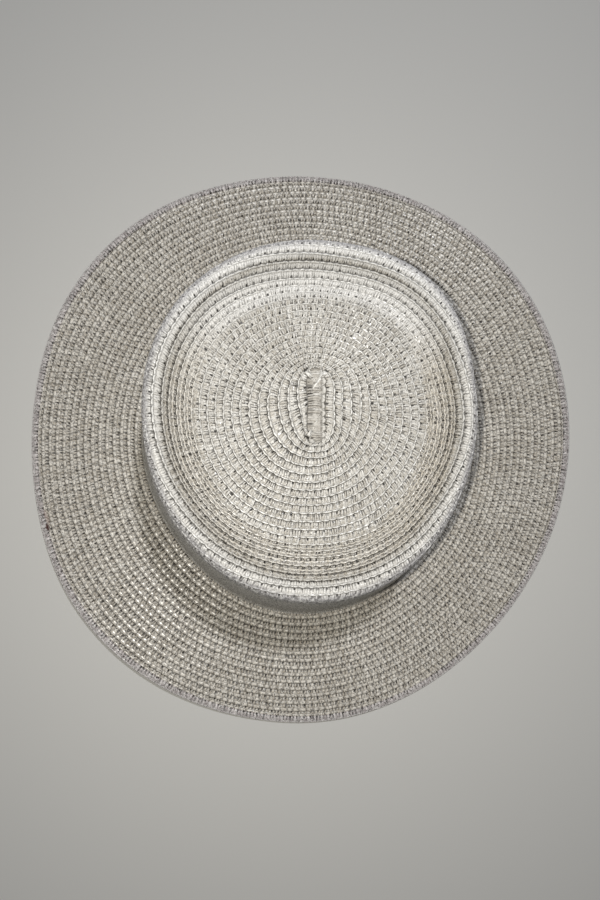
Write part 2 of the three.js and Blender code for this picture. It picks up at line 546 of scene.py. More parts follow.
@dataclass(frozen=True)
class BrimRounds:
    """How far out on the brim each turn of the spiral's outer edge lies."""

    form: HatForm
    pitch: float = 3.98
    turn_at_start: float = 41.625
    radius_at_start: float = 100.3
    tuck: float = 0.5
    waves: tuple[float, ...] = (1.3, 1.4, 1.5, 0.0, 0.2, 1.0, 0.3, -1.8)
    wave_full_radius: float = 128.0
    run_out: float = 2.0

    @property
    def first(self) -> float:
        """The turn at which the braid leaves the head opening."""
        return self.turn_at_start - (self.radius_at_start - self.form.brim_inner) / self.pitch

    @property
    def last(self) -> float:
        """The turn at which the braid has run out under the edge round."""
        return self.turn_at_start + (self.limits()[1] - self.radius_at_start + self.run_out) / self.pitch + 1

    def place(self, turn: np.ndarray) -> np.ndarray:
        """The outer edge's radius after each number of turns."""
        radius = self.radius_at_start + self.pitch * (turn - self.turn_at_start)
        count = len(self.waves)
        around = (np.degrees(direction(turn)) - 180) % 360 / (360 / count)
        felt = np.clip((radius - self.form.brim_inner) / (self.wave_full_radius - self.form.brim_inner), 0, 1)
        return radius + felt * through(np.array(self.waves * 3), around + count)

    def limits(self) -> tuple[float, float]:
        """The least and the greatest place that the braid covers."""
        return self.form.brim_inner + 0.1, self.form.brim_outer - self.form.edge_width + self.tuck


@dataclass
class Course:
    """The whole way of a braid over one surface, measured in braid tiles."""

    surface: LaidSurface
    rounds: CrownRounds | BrimRounds
    tile: float = TILE
    steps: int = 480
    search: float = 0.24
    halvings: int = 26
    full_width: float = 2.2

    def __post_init__(self) -> None:
        """Finds the braid's two edges all along its way, and its length.

        The inner edge at a place is where the round before lies straight across from it, which is found
        by halving a stretch of that round again and again.
        """
        first, last = self.rounds.first, self.rounds.last
        self.turn = np.linspace(first, last, int((last - first) * self.steps) + 1)
        grid = np.linspace(first - 1.5, last + 0.5, int((last - first + 2) * self.steps) + 1)
        reach, angle = self.rounds.place(grid), direction(grid)
        edge = reach * np.cos(angle), reach * np.sin(angle)

        def edge_at(turn: np.ndarray) -> tuple[np.ndarray, np.ndarray]:
            """The edge's places on the opened sheet after each number of turns."""
            return np.interp(turn, grid, edge[0]), np.interp(turn, grid, edge[1])

        outer_x, outer_y = edge_at(self.turn)
        along_x, along_y = np.gradient(outer_x), np.gradient(outer_y)
        size = np.hypot(along_x, along_y)
        along_x, along_y = along_x / size, along_y / size
        less, more = np.full_like(self.turn, -self.search), np.full_like(self.turn, self.search)
        for _ in range(self.halvings):
            middle = (less + more) / 2
            x, y = edge_at(self.turn - 1 + middle)
            behind = (x - outer_x) * along_x + (y - outer_y) * along_y < 0
            less, more = np.where(behind, middle, less), np.where(behind, more, middle)
        self.outer = self._kept(outer_x, outer_y)
        self.inner = self._kept(*edge_at(self.turn - 1 + (less + more) / 2))
        middle = (self.outer + self.inner) / 2
        points = self.surface.point(middle[:, 0], middle[:, 1])
        steps = np.linalg.norm(np.diff(points, axis=0), axis=1)
        self.tiles = np.concatenate([[0], np.cumsum(steps)]) / self.tile

    def _kept(self, x: np.ndarray, y: np.ndarray) -> np.ndarray:
        """Pulls places that lie past the surface's ends back onto it."""
        away = np.maximum(np.hypot(x, y), 1e-9)
        pull = np.clip(away, *self.rounds.limits()) / away
        return np.stack([x * pull, y * pull], -1)

    def count(self, turn: float) -> int:
        """The number of whole tiles from the start to a turn."""
        return int(round(float(np.interp(turn, self.turn, self.tiles))))

    def lay(self, tile: np.ndarray, across: np.ndarray, height: np.ndarray) -> tuple[np.ndarray, np.ndarray]:
        """Lays points of a straight braid on the surface.

        Args:
            tile: How far along the braid, in tiles.
            across: How far across a round, 0 at its inner and 1 at its outer edge.
            height: Height over the surface in millimetres.

        Returns:
            The points, and each one's distance from the middle of the opened sheet.
        """
        turn = np.interp(tile, self.tiles, self.turn)
        inner = np.stack([np.interp(turn, self.turn, self.inner[:, k]) for k in (0, 1)], -1)
        outer = np.stack([np.interp(turn, self.turn, self.outer[:, k]) for k in (0, 1)], -1)
        flat = inner + (outer - inner) * across[:, None]
        flat = self._kept(flat[:, 0], flat[:, 1])
        # a round that runs out grows thinner as it grows narrower
        shrink = np.clip(np.hypot(*(outer - inner).T) / self.full_width, 0.0, 1)
        wall = self.surface.form.wall
        kept = np.where(height > -wall / 2, height * shrink, -wall + (height + wall) * shrink)
        return self.surface.raised(flat[:, 0], flat[:, 1], kept), np.hypot(flat[:, 0], flat[:, 1])


# ---- the braid


# how far the brim's braid stays over the floor, in millimetres
LEAST_BRIM_HEIGHT = 0.02


@dataclass(frozen=True)
class BraidTile:
    """One repeat of the straight braid: plaited straws side by side, and the corded outer edge.

    Along the braid a tile is 1 long. Across, 0 is a round's inner and 1 its outer edge. Heights are in
    millimetres over the hat's surface. The top's section is outlined from the inner edge outwards, the
    underside's from the outer edge back.
    """

    columns: int = 4
    top: tuple[tuple[float, float], ...] = (
        (-0.13, -0.62), (0.03, -0.42), (0.14, -0.08), (0.34, 0.1), (0.54, 0.06), (0.72, -0.08), (0.8, 0.14),
        (0.88, 0.27), (0.96, 0.14),
    )
    under: tuple[tuple[float, float], ...] = ((1.01, -0.5), (0.72, -1.3), (0.1, -1.75), (-0.12, -1.25))

    def mesh(self) -> Mesh:
        """Builds the tile from its section, drawn out column by column.

        Returns:
            The tile's mesh, with its plait map. The underside's map lies 2 further across.
        """
        bm = bmesh.new()
        number = bm.verts.layers.int.new("section_point")
        plait = bm.loops.layers.uv.new("plait")
        section = [*self.top, *self.under]
        ring = [bm.verts.new((0, across, height)) for across, height in section]
        for k, vertex in enumerate(ring):
            vertex[number] = k
        edges = [bm.edges.new((a, b)) for a, b in zip(ring, ring[1:] + ring[:1])]
        for _ in range(self.columns):
            drawn = bmesh.ops.extrude_edge_only(bm, edges=edges)["geom"]
            moved = [g for g in drawn if isinstance(g, bmesh.types.BMVert)]
            bmesh.ops.translate(bm, vec=(1 / self.columns, 0, 0), verts=moved)
            edges = [g for g in drawn if isinstance(g, bmesh.types.BMEdge) and set(moved).issuperset(g.verts)]
        # extruding gives the faces in no fixed order
        bm.verts.index_update()
        bm.faces.sort(key=self._rank)
        for face in bm.faces:
            below = max(loop.vert[number] for loop in face.loops) >= len(self.top)
            face.smooth = True
            for loop in face.loops:
                loop[plait].uv = (loop.vert.co.x, loop.vert.co.y + (2 if below else 0))
        bmesh.ops.recalc_face_normals(bm, faces=bm.faces)
        made = bpy.data.meshes.new("braid_tile")
        bm.to_mesh(made)
        bm.free()
        return made

    @staticmethod
    def _rank(face: bmesh.types.BMFace) -> int:
        """A number that puts the faces in the order of their corners."""
        corners = [v.index for v in face.verts]
        return 10_000 * min(corners) + max(corners)


@dataclass(frozen=True)
class Plaiting:
    """The relief of the plaited straws, and how much it varies from straw to straw."""

    straws: int = 3
    straws_at: tuple[float, float] = (0.38, 0.36)
    cord_at: tuple[float, float] = (0.89, 0.13)
    rib: float = 0.18
    swell: float = 0.07
    hole: float = 0.36
    hole_across: float = 0.14
    cord_twist: float = 0.06
    scallop: float = 0.045
    slant: float = 0.1
    uneven_slant: float = 0.2
    uneven_height: float = 0.09
    uneven_place: float = 0.16
    top_from: float = -0.47
    hole_half: tuple[float, float] = (0.17, 0.1)
    scallop_from: float = 0.72
    scallop_over: float = 0.17
    slant_about: float = 0.45
    seed: int = 11

    def worked(self, along: np.ndarray, across: np.ndarray, height: np.ndarray) -> tuple[np.ndarray, ...]:
        """Works the plait into a plain straight braid.

        Args:
            along: How far along the whole braid, in tiles.
            across: How far across the round.
            height: Height of the plain section in millimetres.

        Returns:
            The same three, with each straw, gap and hole in its place.
        """
        count = int(along.max()) + 4
        chance = np.random.default_rng(self.seed).random((7, self.straws * count))
        straw = np.floor(self.straws * along + 1e-6).astype(int) + 1
        hole = np.floor(along + 0.5).astype(int) + 1
        between = -np.cos(self.straws * FULL_TURN * along)
        top = np.where(height > self.top_from, 1.0, 0.0)
        on_straws = np.clip(1 - ((across - self.straws_at[0]) / self.straws_at[1]) ** 2, 0, 1) * top
        rib = self.rib * (0.4 + 1.1 * chance[0, straw]) * between
        lifted = self.uneven_height * (2 * chance[1, straw] - 1) * (between > -0.5)
        to_hole = np.abs(along - np.round(along))
        half_along, half_across = self.hole_half
        in_hole = np.exp(-((to_hole / half_along) ** 2) - ((across - self.hole_across) / half_across) ** 2) * top
        on_cord = np.clip(1 - ((across - self.cord_at[0]) / self.cord_at[1]) ** 2, 0, 1) * top
        twist = np.cos(FULL_TURN * (along + 0.35 * across)) * (0.4 + 1.2 * chance[5, hole])
        lifted = lifted + self.swell * np.sin(FULL_TURN * along)
        raised = (rib + lifted) * on_straws - self.hole * (0.2 + 1.0 * chance[2, hole]) * in_hole
        raised += self.cord_twist * twist * on_cord
        edge = np.clip((across - self.scallop_from) / self.scallop_over, 0, 1)
        wavy = self.scallop * np.cos(FULL_TURN * (along - 0.5)) * (0.5 + chance[3, hole])
        knots = np.arange(self.straws * count)
        pushed = self.uneven_place * np.interp(along, knots * 0.9, 2 * chance[4] - 1)
        slanted = self.slant + self.uneven_slant * np.interp(along, knots * 1.3, 2 * chance[6] - 1)
        return along + pushed + slanted * (across - self.slant_about), across + edge * wavy, height + raised


def repeated(tile: Mesh, count: int) -> Mesh:
    """Repeats a tile end to end and joins the repeats.

    Args:
        tile: The tile's mesh, 1 long.
        count: How many tiles.

    Returns:
        The straight braid's mesh.
    """
    strip = bpy.data.objects.new("straight_braid", tile)
    bpy.context.scene.collection.objects.link(strip)
    array = strip.modifiers.new("repeats", "ARRAY")
    array.count = count
    array.use_relative_offset = False
    array.use_constant_offset = True
    array.constant_offset_displace = (1, 0, 0)
    array.use_merge_vertices = True
    array.merge_threshold = 1e-3
    array.offset_u = 1.0
    bpy.context.view_layer.update()
    whole = bpy.data.meshes.new_from_object(strip.evaluated_get(bpy.context.evaluated_depsgraph_get()))
    bpy.data.objects.remove(strip)
    return whole


def finished(mesh: Mesh, name: str, weld: float = 0.0) -> Object:
    """Closes a laid braid's ends, points its faces outwards and makes it an object.

    Args:
        mesh: The laid braid.
        name: The piece's name.
        weld: Greatest distance in metres over which loose ends are joined, for a closed round.

    Returns:
        The new object.
    """
    bm = bmesh.new()
    bm.from_mesh(mesh)
    if weld:
        bmesh.ops.remove_doubles(bm, verts=[v for v in bm.verts if v.is_boundary], dist=weld)
    loose = [e for e in bm.edges if e.is_boundary]
    if loose:
        bmesh.ops.holes_fill(bm, edges=loose, sides=0)
    bmesh.ops.recalc_face_normals(bm, faces=bm.faces)
    bm.to_mesh(mesh)
    bm.free()
    mesh.name = name
    made = bpy.data.objects.new(name, mesh)
    bpy.context.scene.collection.objects.link(made)
    return made


def straight_places(mesh: Mesh) -> np.ndarray:
    """Reads how far along, across and over the hat each point of a straight braid is."""
    places = np.zeros(len(mesh.vertices) * 3, np.float32)
    mesh.vertices.foreach_get("co", places)
    return places.reshape(-1, 3).astype(float).T


def put(mesh: Mesh, points: np.ndarray, down: np.ndarray) -> None:
    """Puts a straight braid's points onto the hat.

    Args:
        mesh: The braid.
        points: Where each point goes, in millimetres.
        down: How far each one is down the hat, which the finishes read.
    """
    mesh.vertices.foreach_set("co", (points * MM).astype(np.float32).ravel())
    mesh.attributes.new("place", "FLOAT", "POINT").data.foreach_set("value", down.astype(np.float32))
    mesh.update()


def laid_braid(
    name: str, course: Course, tile: BraidTile, plaiting: Plaiting, first: int, last: int
) -> Object:
    """Lays a stretch of the braid's way on the hat.

    Args:
        name: The piece's name.
        course: The braid's way.
        tile: The braid's repeat.
        plaiting: The straws' relief.
        first: The stretch's first tile.
        last: The tile after its last one.

    Returns:
        The piece.
    """
    mesh = repeated(tile.mesh(), last - first)
    along, across, height = straight_places(mesh)
    points, down = course.lay(*plaiting.worked(along + first, across, height))
    if course.surface.ground is Ground.BRIM:
        points[:, 2] = np.maximum(points[:, 2], LEAST_BRIM_HEIGHT)
    plait = np.zeros(len(mesh.loops) * 2, np.float32)
    mesh.uv_layers["plait"].uv.foreach_get("vector", plait)
    plait[0::2] += first
    mesh.uv_layers["plait"].uv.foreach_set("vector", plait)
    put(mesh, points, down)
    return finished(mesh, name)


# ---- finishes


def per(length: float, size: float) -> float:
    """How many spots of a pattern lie in a length, both in millimetres, to one decimal."""
    return round(length / size, 1)


class BraidPlaces:
    """Where each point of a finish lies, on the braid and on the hat, as amounts in a node tree."""

    def __init__(self, tree: NodeTree) -> None:
        """Reads the plait map, whose underside lies 2 across, the way down the hat and the object's own places.

        Args:
            tree: The finish's node tree.
        """
        self.tree = tree
        self.along, mapped = self.parts(add_node(tree, "ShaderNodeUVMap", uv_map="plait").outputs[0])
        self.across = mapped - mapped.worked("GREATER_THAN", 1.5) * 2.0
        self.where = add_node(tree, "ShaderNodeTexCoord").outputs["Object"]
        self.to_right, self.to_back = self.parts(self.where)
        self.down = Amount(tree, add_node(tree, "ShaderNodeAttribute", attribute_name="place").outputs["Fac"])

    def parts(self, vector: NodeSocket) -> tuple[Amount, Amount]:
        """The first two parts of a vector."""
        split = add_node(self.tree, "ShaderNodeSeparateXYZ", {0: vector}).outputs
        return Amount(self.tree, split[0]), Amount(self.tree, split[1])

    def chance(self, number: Amount) -> Amount:
        """A random amount from 0 to 1 for each whole number."""
        node = add_node(self.tree, "ShaderNodeTexWhiteNoise", {"W": number}, noise_dimensions="1D")
        return Amount(self.tree, node.outputs[0])

    def patches(self, along: float, across: float, detail: float = 1.0, measure: Amount | None = None) -> Amount:
        """Soft random patches that follow the braid.

        Args:
            along: Patches in one tile.
            across: Patches across one round, or in one unit of the measure.
            detail: How much finer the patches are broken up.
            measure: What the second number counts across, where it isn't the round.

        Returns:
            The patches, about 0.5 on average.
        """
        scaled = {0: self.along * along, 1: (measure or self.across) * across}
        at = add_node(self.tree, "ShaderNodeCombineXYZ", scaled).outputs[0]
        node = add_node(self.tree, "ShaderNodeTexNoise", {"Vector": at, "Scale": 1.0, "Detail": detail})
        return Amount(self.tree, node.outputs[0])

    def band(self, begins: float, full: float, fades: float, ends: float) -> Amount:
        """A band round the hat, by where it begins, is full, fades and ends, in millimetres down."""
        return self.down.step(begins, full) * self.down.step(ends, fades)


@dataclass(frozen=True)
class Mark:
    """A small stain on the straw, an oval seen from above, in millimetres."""

    at: tuple[float, float]
    half_size: tuple[float, float]
    turned_deg: float
    colour: str
    strength: float = 0.9

    def share(self, on: BraidPlaces) -> Amount:
        """How much of the stain is felt at each place, from 0 to the mark's strength."""
        placed = {
            "Vector": on.where,
            "Location": (self.at[0] * MM, self.at[1] * MM, 0),
            "Rotation": (0, 0, math.radians(self.turned_deg)),
            "Scale": (self.half_size[0] * MM, self.half_size[1] * MM, 1),
        }
        local = add_node(on.tree, "ShaderNodeMapping", placed, vector_type="TEXTURE").outputs[0]
        away = add_node(on.tree, "ShaderNodeVectorMath", {0: local}, operation="LENGTH").outputs["Value"]
        return Amount(on.tree, away).step(1.25, 0.7, 0.0, self.strength)


@dataclass(frozen=True)
class PlaitDrawing:
    """What is drawn of the plait: how much of each thing there is at each place."""

    tone: Amount
    between: Amount
    beside_line: Amount
    straw_ribs: Amount
    on_cord: Amount
    from_twist: Amount
    twist_line: Amount
    cord_foot_shade: Amount
    round_step_shadow: Amount
    hole: Amount
    hole_depth: Amount


@dataclass(frozen=True)
class StrawFinish:
    """Sewn braid of flat plaited straw, bleached and lightly glazed.

    The glaze gives each straw a small bright glint. The shade in the gaps between the straws and in the
    stitch holes, and the shadow of each round's step on the next, are painted dark and warmer. Places
    across a round run from 0 at its inner edge to 1 at its outer one, along the braid a tile is 1 long,
    and bands round the hat are given by where they begin, are full, fade and end, in millimetres down
    from the middle of the tip.
    """

    name: str
    straw: str
    shade: str
    # gap and hole are the colours of the painted shade in the gaps and in the stitch holes
    gap: str
    hole: str
    gap_end: float
    # colours of the painted warm shade in the groove, of pale wisps, stray fibres and the painted highlight, and of the
    # painted cool grey shade on the shoulder
    groove_shade: str = "e8dcc6"
    bleached: str = "fbfaf6"
    shoulder_shade_tint: str = "c4c2ca"
    straws: int = 3
    opening: tuple[float, float] = (0.32, 0.42)
    half_line: float = 0.0
    half_line_at: float = 0.42
    hole_at: float = 0.14
    hole_size: tuple[float, float] = (0.12, 0.19)
    cord_from: float = 0.73
    twist_gap: tuple[float, float] = (0.36, 0.49)
    twist_lean: float = 1.1
    glint: tuple[float, float] = (0.3, 0.12)
    # how far the cord is painted lighter, a painted highlight on its top
    cord_painted_highlight: float = 0.7
    flecks: float = 0.75
    wisps: float = 0.6
    roughness: float = 0.33
    glaze: float = 1.0
    depth: float = 0.22
    groove: tuple[float, ...] = ()
    crest: tuple[float, ...] = ()
    shoulder: tuple[float, ...] = (83.0, 86.5, 98.0, 104.0)
    marks: tuple[Mark, ...] = ()

    def drawn(self, on: BraidPlaces, in_groove: Amount | None) -> PlaitDrawing:
        """Draws the plait of one round and the next.

        Args:
            on: Where each point lies.
            in_groove: How much a place belongs to the groove, where the hat has one.

        Returns:
            How much of each part of the plait there is.
        """
        across, cord = on.across, self.cord_from
        # straws side by side, with gaps that open towards the inner edge, painted dark as shade
        straws = on.along * float(self.straws)
        from_middle = abs(straws.worked("FRACT") - 0.5)
        gap_chance = on.chance((straws + 0.5).worked("FLOOR") + 0.25)
        on_straws = across.step(-0.05, 0.04) * across.step(cord + 0.05, cord - 0.07)
        opening = across.step(0.1, 0.6, *self.opening) - gap_chance * 0.14
        between = from_middle.step(opening, opening + 0.13, soft=False) * on_straws
        between = between * across.step(0.1, 0.7, 1.0, self.gap_end) * gap_chance.spread(0.45, 1.0)
        # the line along the middle of the round, where the straws cross, clearest in the groove and faint
        # towards the back, with painted shade on the straws beside it
        crossing = in_groove * on.to_back.step(0.0, 0.05, self.half_line, 0.1) if in_groove else self.half_line
        wavy = (on.along * FULL_TURN).worked("SINE")
        half = abs(across - (wavy * 0.05 + self.half_line_at))
        flank = half.step(0.07, 0.12) * half.step(0.31, 0.22) * (gap_chance * 0.5 + 0.5)
        # one stitch hole to a tile, close to the cord of the round before, each a little out of its place,
        # painted dark as the shade inside it
        at_hole = on.chance((on.along + 0.5).worked("FLOOR") + 0.75)
        to_hole = (on.along + 0.5).worked("FRACT") - ((at_hole - 0.5) * 0.34 + 0.5)
        hole_x, hole_y = to_hole / self.hole_size[0], (across - self.hole_at) / self.hole_size[1]
        depth = (at_hole * 7.13).worked("FRACT")
        # the twisted cord, with painted shade in the creases between its twists and along its foot, and the
        # painted shadow of the step from round to round, which the tucked borders don't have
        twist = (on.along + across * self.twist_lean).worked("FRACT")
        from_twist = abs(twist - 0.5)
        round_step_shadow = across.step(0.08, -0.01, 0.0, 0.85) | across.step(0.93, 0.99, 0.0, 0.95)
        return PlaitDrawing(
            tone=on.chance(straws.worked("FLOOR")),
            between=between * (1.0 - half.step(0.1, 0.06) * crossing),
            beside_line=flank * crossing,
            straw_ribs=from_middle.step(0.5, 0.1) * on_straws,
            on_cord=across.step(cord, cord + 0.07) * across.step(0.98, 0.93),
            from_twist=from_twist,
            twist_line=from_twist.step(*self.twist_gap),
            cord_foot_shade=abs(across - (cord + 0.02)).step(0.09, 0.02) * on.patches(per(TILE, 2.2), 0.0).step(0.3, 0.5),
            round_step_shadow=round_step_shadow * (across.step(-0.3, -0.2) * across.step(1.3, 1.15)),
            hole=(hole_x * hole_x + hole_y * hole_y).step(1.5, 0.3) * depth.spread(0.35, 1.0),
            hole_depth=depth,
        )

    def material(self) -> Material:
        """Builds the finish, as coats of colour over each other with a glaze and a fine relief.

        Returns:
            The finish as a node material.
        """
        made = bpy.data.materials.new(self.name)
        made.use_nodes = True
        tree = made.node_tree
        tree.nodes.clear()
        on = BraidPlaces(tree)
        in_groove = on.band(*self.groove) if self.groove else None
        plait = self.drawn(on, in_groove)
        # fibres 0.14 mm wide, coarser than real ones so that they show as a grain, then flecks and loose wisps
        fine = on.patches(per(TILE, 0.144), per(ROUND, 1.3), 2.0)
        fleck = on.patches(per(TILE, 0.68), per(ROUND, 1.15), 1.5)
        curl = abs(on.patches(per(TILE, 0.87), per(ROUND, 1.0), 2.0) - 0.5)
        wisp = curl.step(0.04, 0.008) * self.wisps
        gleam = plait.from_twist.step(*self.glint) * plait.on_cord * plait.hole_depth.spread(1.0, 0.35)
        glossy = gleam | on.patches(per(TILE, 0.8), per(ROUND, 0.95)).step(0.54, 0.68) * 0.7
        # every straw has its own tone, with broad patches 36 mm wide over them; the lower straw of each
        # tile gets a painted shade, and the cord a painted highlight
        broad_inputs = {"Vector": on.where, "Scale": float(round(1 / (36 * MM))), "Detail": 3.0}
        broad = Amount(tree, add_node(tree, "ShaderNodeTexNoise", broad_inputs).outputs[0])
        low_straw_shade = abs(on.along.worked("FRACT") - 0.75).step(0.32, 0.12)
        shade = plait.tone * 0.7 + broad.step(0.35, 0.65) * 0.25 + (fine - 0.5) * 0.8 + low_straw_shade * 0.4
        coats: list[tuple[Any, str]] = [(shade * (1.0 - plait.on_cord * self.cord_painted_highlight), self.shade)]
        # painted shade in the gaps, creases and steps of the plait, with random dark flecks of the straw over it
        dark = plait.between | plait.round_step_shadow | plait.cord_foot_shade * 0.6 | plait.beside_line
        dark = dark | plait.twist_line * plait.on_cord * 0.7 | fleck.step(0.46, 0.35) * self.flecks
        dark = dark * (1.0 - wisp)
        if in_groove:
            # painted warm shade in the groove, most to the right; a painted highlight on the crest and at the
            # back of the groove; on the shoulder a painted cool grey shade and frayed straws
            groove_shade_share = in_groove * on.to_right.step(0.0, 0.07, 0.3, 0.5) * on.to_back.step(0.01, 0.06, 1.0, 0.3)
            on_crest = on.band(*self.crest) * on.to_back.step(0.02, 0.06, 0.5, 1.0)
            crest_and_back_highlight = on_crest | in_groove * on.to_back.step(0.02, 0.06, 0.0, 0.8)
            shoulder = on.band(*self.shoulder)
            frayed = on.patches(per(TILE, 1.44), 0.45, 2.0, on.down)
            stray = shoulder * frayed.step(0.54, 0.61) * 0.85
            dark = (dark | shoulder * frayed.step(0.47, 0.38) * 0.7) * (1.0 - stray) * (1.0 - crest_and_back_highlight * 0.3)
            coats += [(groove_shade_share, self.groove_shade), (wisp, self.bleached), (crest_and_back_highlight, self.bleached)]
            coats += [(shoulder * 0.5, self.shoulder_shade_tint), (stray, self.bleached)]
        else:
            coats.append((wisp, self.bleached))
        # the gap and hole colours paint the shade in the gaps and in the stitch holes
        coats += [(dark, self.gap), (plait.hole, self.hole)]
        coats += [(mark.share(on), mark.colour) for mark in self.marks]
        colour: Any = linear(self.straw)
        for share, over in coats:
            coat = {0: share, 6: colour, 7: linear(over)}
            colour = add_node(tree, "ShaderNodeMix", coat, data_type="RGBA").outputs[2]
        relief = plait.straw_ribs * 0.45 + plait.on_cord * 0.6 - plait.twist_line * plait.on_cord * 0.4
        relief = relief - plait.hole * 0.7 - plait.round_step_shadow * 0.5 + fine * 0.15 + fleck * 0.6 + wisp * 0.4
        bump = add_node(tree, "ShaderNodeBump", {"Strength": 0.8, "Distance": self.depth * MM, "Height": relief})
        straw = {
            "Base Color": colour,
            "Roughness": (dark | plait.hole) * 0.25 + self.roughness,
            "Normal": bump.outputs[0],
            "IOR": 1.5,
            "Specular IOR Level": 0.5,
            "Coat Weight": glossy * self.glaze,
            "Coat Roughness": 0.2,
        }
        shader = add_node(tree, "ShaderNodeBsdfPrincipled", straw)
        add_node(tree, "ShaderNodeOutputMaterial", {0: shader.outputs[0]})
        return made


RIM_STAIN = (
    Mark(at=(-146.7, -52.1), half_size=(1.9, 1.0), turned_deg=-68, colour="4a2620"),
    Mark(at=(-147.6, -46.5), half_size=(4.5, 1.0), turned_deg=-72, colour="b39a92", strength=0.4),
)
# nearly white straw that reads cream in the light, with fine gaps and one clear hole to a stitch
# painted dark as shade
CROWN_STRAW = StrawFinish(
    name="bleached_straw_braid_crown", straw="fbf9f3", shade="cbc5b9", gap="2e2821", hole="1c1814",
    bleached="fffefb", gap_end=0.9, opening=(0.31, 0.4), half_line=1.0, flecks=0.75, wisps=0.7, depth=0.3,
    groove=(57, 62, 74, 78), crest=(77, 80, 88, 92),
)
# the same straw, greyer and duller
START_STRAW = StrawFinish(
    name="bleached_straw_braid_start", straw="e2dfd8", shade="b9b3a8", gap="3a342c", hole="241f1a",
    bleached="eae8e3", gap_end=0.9, half_line=0.3, flecks=0.7, wisps=0.4, roughness=0.5, glaze=0.2,
)
# two wide straws to a stitch, a little warmer, so that the brim looks like a net of pale dashes
BRIM_STRAW = StrawFinish(
    name="bleached_straw_braid_brim", straw="fef8ec", shade="c2b8a7", gap="352e26", hole="221d17",
    gap_end=0.85, straws=2, opening=(0.25, 0.36), cord_from=0.5, twist_gap=(0.28, 0.46), twist_lean=0.3,
    glint=(0.2, 0.04), cord_painted_highlight=0.3, flecks=0.95, wisps=0.8, depth=0.32, marks=RIM_STAIN,
)
# the doubled round, greyer than the brim, with a stain on its left
EDGE_STRAW = StrawFinish(
    name="bleached_straw_braid_edge", straw="f9f2f0", shade="b8aead", gap="2e2723", hole="211c19",
    gap_end=0.8, straws=2, opening=(0.26, 0.36), flecks=1.0, wisps=1.0, depth=0.34, marks=RIM_STAIN,
)


# ---- the hat


def dressed(piece: Object, finish: Material, nodes: Sequence[str]) -> Object:
    """Gives a piece its finish, its body and the solids that it stands for.

    Args:
        piece: The piece.
        finish: Its material.
        nodes: The CAD nodes that it replaces.

    Returns:
        The same piece.
    """
    piece.data.materials.clear()
    piece.data.materials.append(finish)
    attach(piece, "root")
    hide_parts(*nodes)
    faces = sum(len(p.vertices) - 2 for p in piece.data.polygons)
    LOG.info("%s: %d triangles, rides root, stands for %s", piece.name, faces, ", ".join(nodes))
    return piece


@dataclass
class Crown:
    """The crown's braid: start strip, tip, ridge and side."""

    form: HatForm
    tip_end: float = 13.5
    ridge_end: float = 23.5
    side_middle: float = 32.5
    tip_tile: BraidTile = BraidTile(columns=6)
    ridge_tile: BraidTile = BraidTile(columns=6)
    side_tile: BraidTile = BraidTile(
        columns=4,
        top=((-0.13, -0.62), (0.05, -0.4), (0.3, 0.06), (0.68, -0.06), (0.86, 0.27), (0.96, 0.14)),
        under=((1.02, -0.5), (0.4, -1.7), (-0.12, -1.25)),
    )
    strip_tile: BraidTile = BraidTile(
        columns=6,
        under=(
            (1.02, -0.5), (1.4, -0.85), (1.85, -1.5), (1.85, -1.88), (0.5, -1.88), (-0.85, -1.88), (-0.85, -1.5),
            (-0.35, -0.9),
        ),
    )
    plaiting: Plaiting = Plaiting()

    def build(self) -> list[Object]:
        """Lays the crown's braid.

        Returns:
            The crown's pieces.
        """
        course = Course(LaidSurface(self.form, Ground.CROWN), CrownRounds(self.form))
        finish = CROWN_STRAW.material()
        ends = [course.rounds.first, self.tip_end, self.ridge_end, self.side_middle, course.rounds.last]
        names = ["crown_tip_braid", "crown_ridge_braid", "crown_side_braid_upper", "crown_side_braid_lower"]
        tiles = [self.tip_tile, self.ridge_tile, self.side_tile, self.side_tile]
        pieces = []
        for name, tile, start, end in zip(names, tiles, ends, ends[1:]):
            piece = laid_braid(name, course, tile, self.plaiting, course.count(start), course.count(end))
            pieces.append(dressed(piece, finish, ["crown"]))
        pieces.append(dressed(self.strip(), START_STRAW.material(), ["crown"]))
        return pieces

    def strip(self) -> Object:
        """Lays the short straight strip that the spiral starts from, with its borders tucked under.

        Returns:
            The strip.
        """
        start = StartStrip()
        surface = LaidSurface(self.form, Ground.CROWN)
        tiles = round((start.back - start.front) / TILE)
        # one more tile at each end, which goes under the first rounds
        mesh = repeated(self.strip_tile.mesh(), tiles + 2)
        along, across, height = self.plaiting.worked(*straight_places(mesh))
        sheet = np.linspace(start.front - start.margin, start.back + start.margin, start.steps)
        steps = np.linalg.norm(np.diff(surface.point(0 * sheet, sheet), axis=0), axis=1)
        real = np.concatenate([[0], np.cumsum(steps)])
        front, back = (np.interp(end, sheet, real) for end in (start.front, start.back))
        y = np.interp(back - (along - 1) / tiles * (back - front), real, sheet)
        x = start.left + (start.right - start.left) * across
        # the strip's two ends dip under the first rounds
        past = np.maximum(y - start.back, start.front - y) + start.drop_begins
        sunk = start.sunk + start.end_drop * np.clip(past, 0, start.drop_over)
        put(mesh, surface.raised(x, y, np.where(height > -self.form.wall / 2, height - sunk, height)), np.hypot(x, y))
        return finished(mesh, "crown_start_strip")


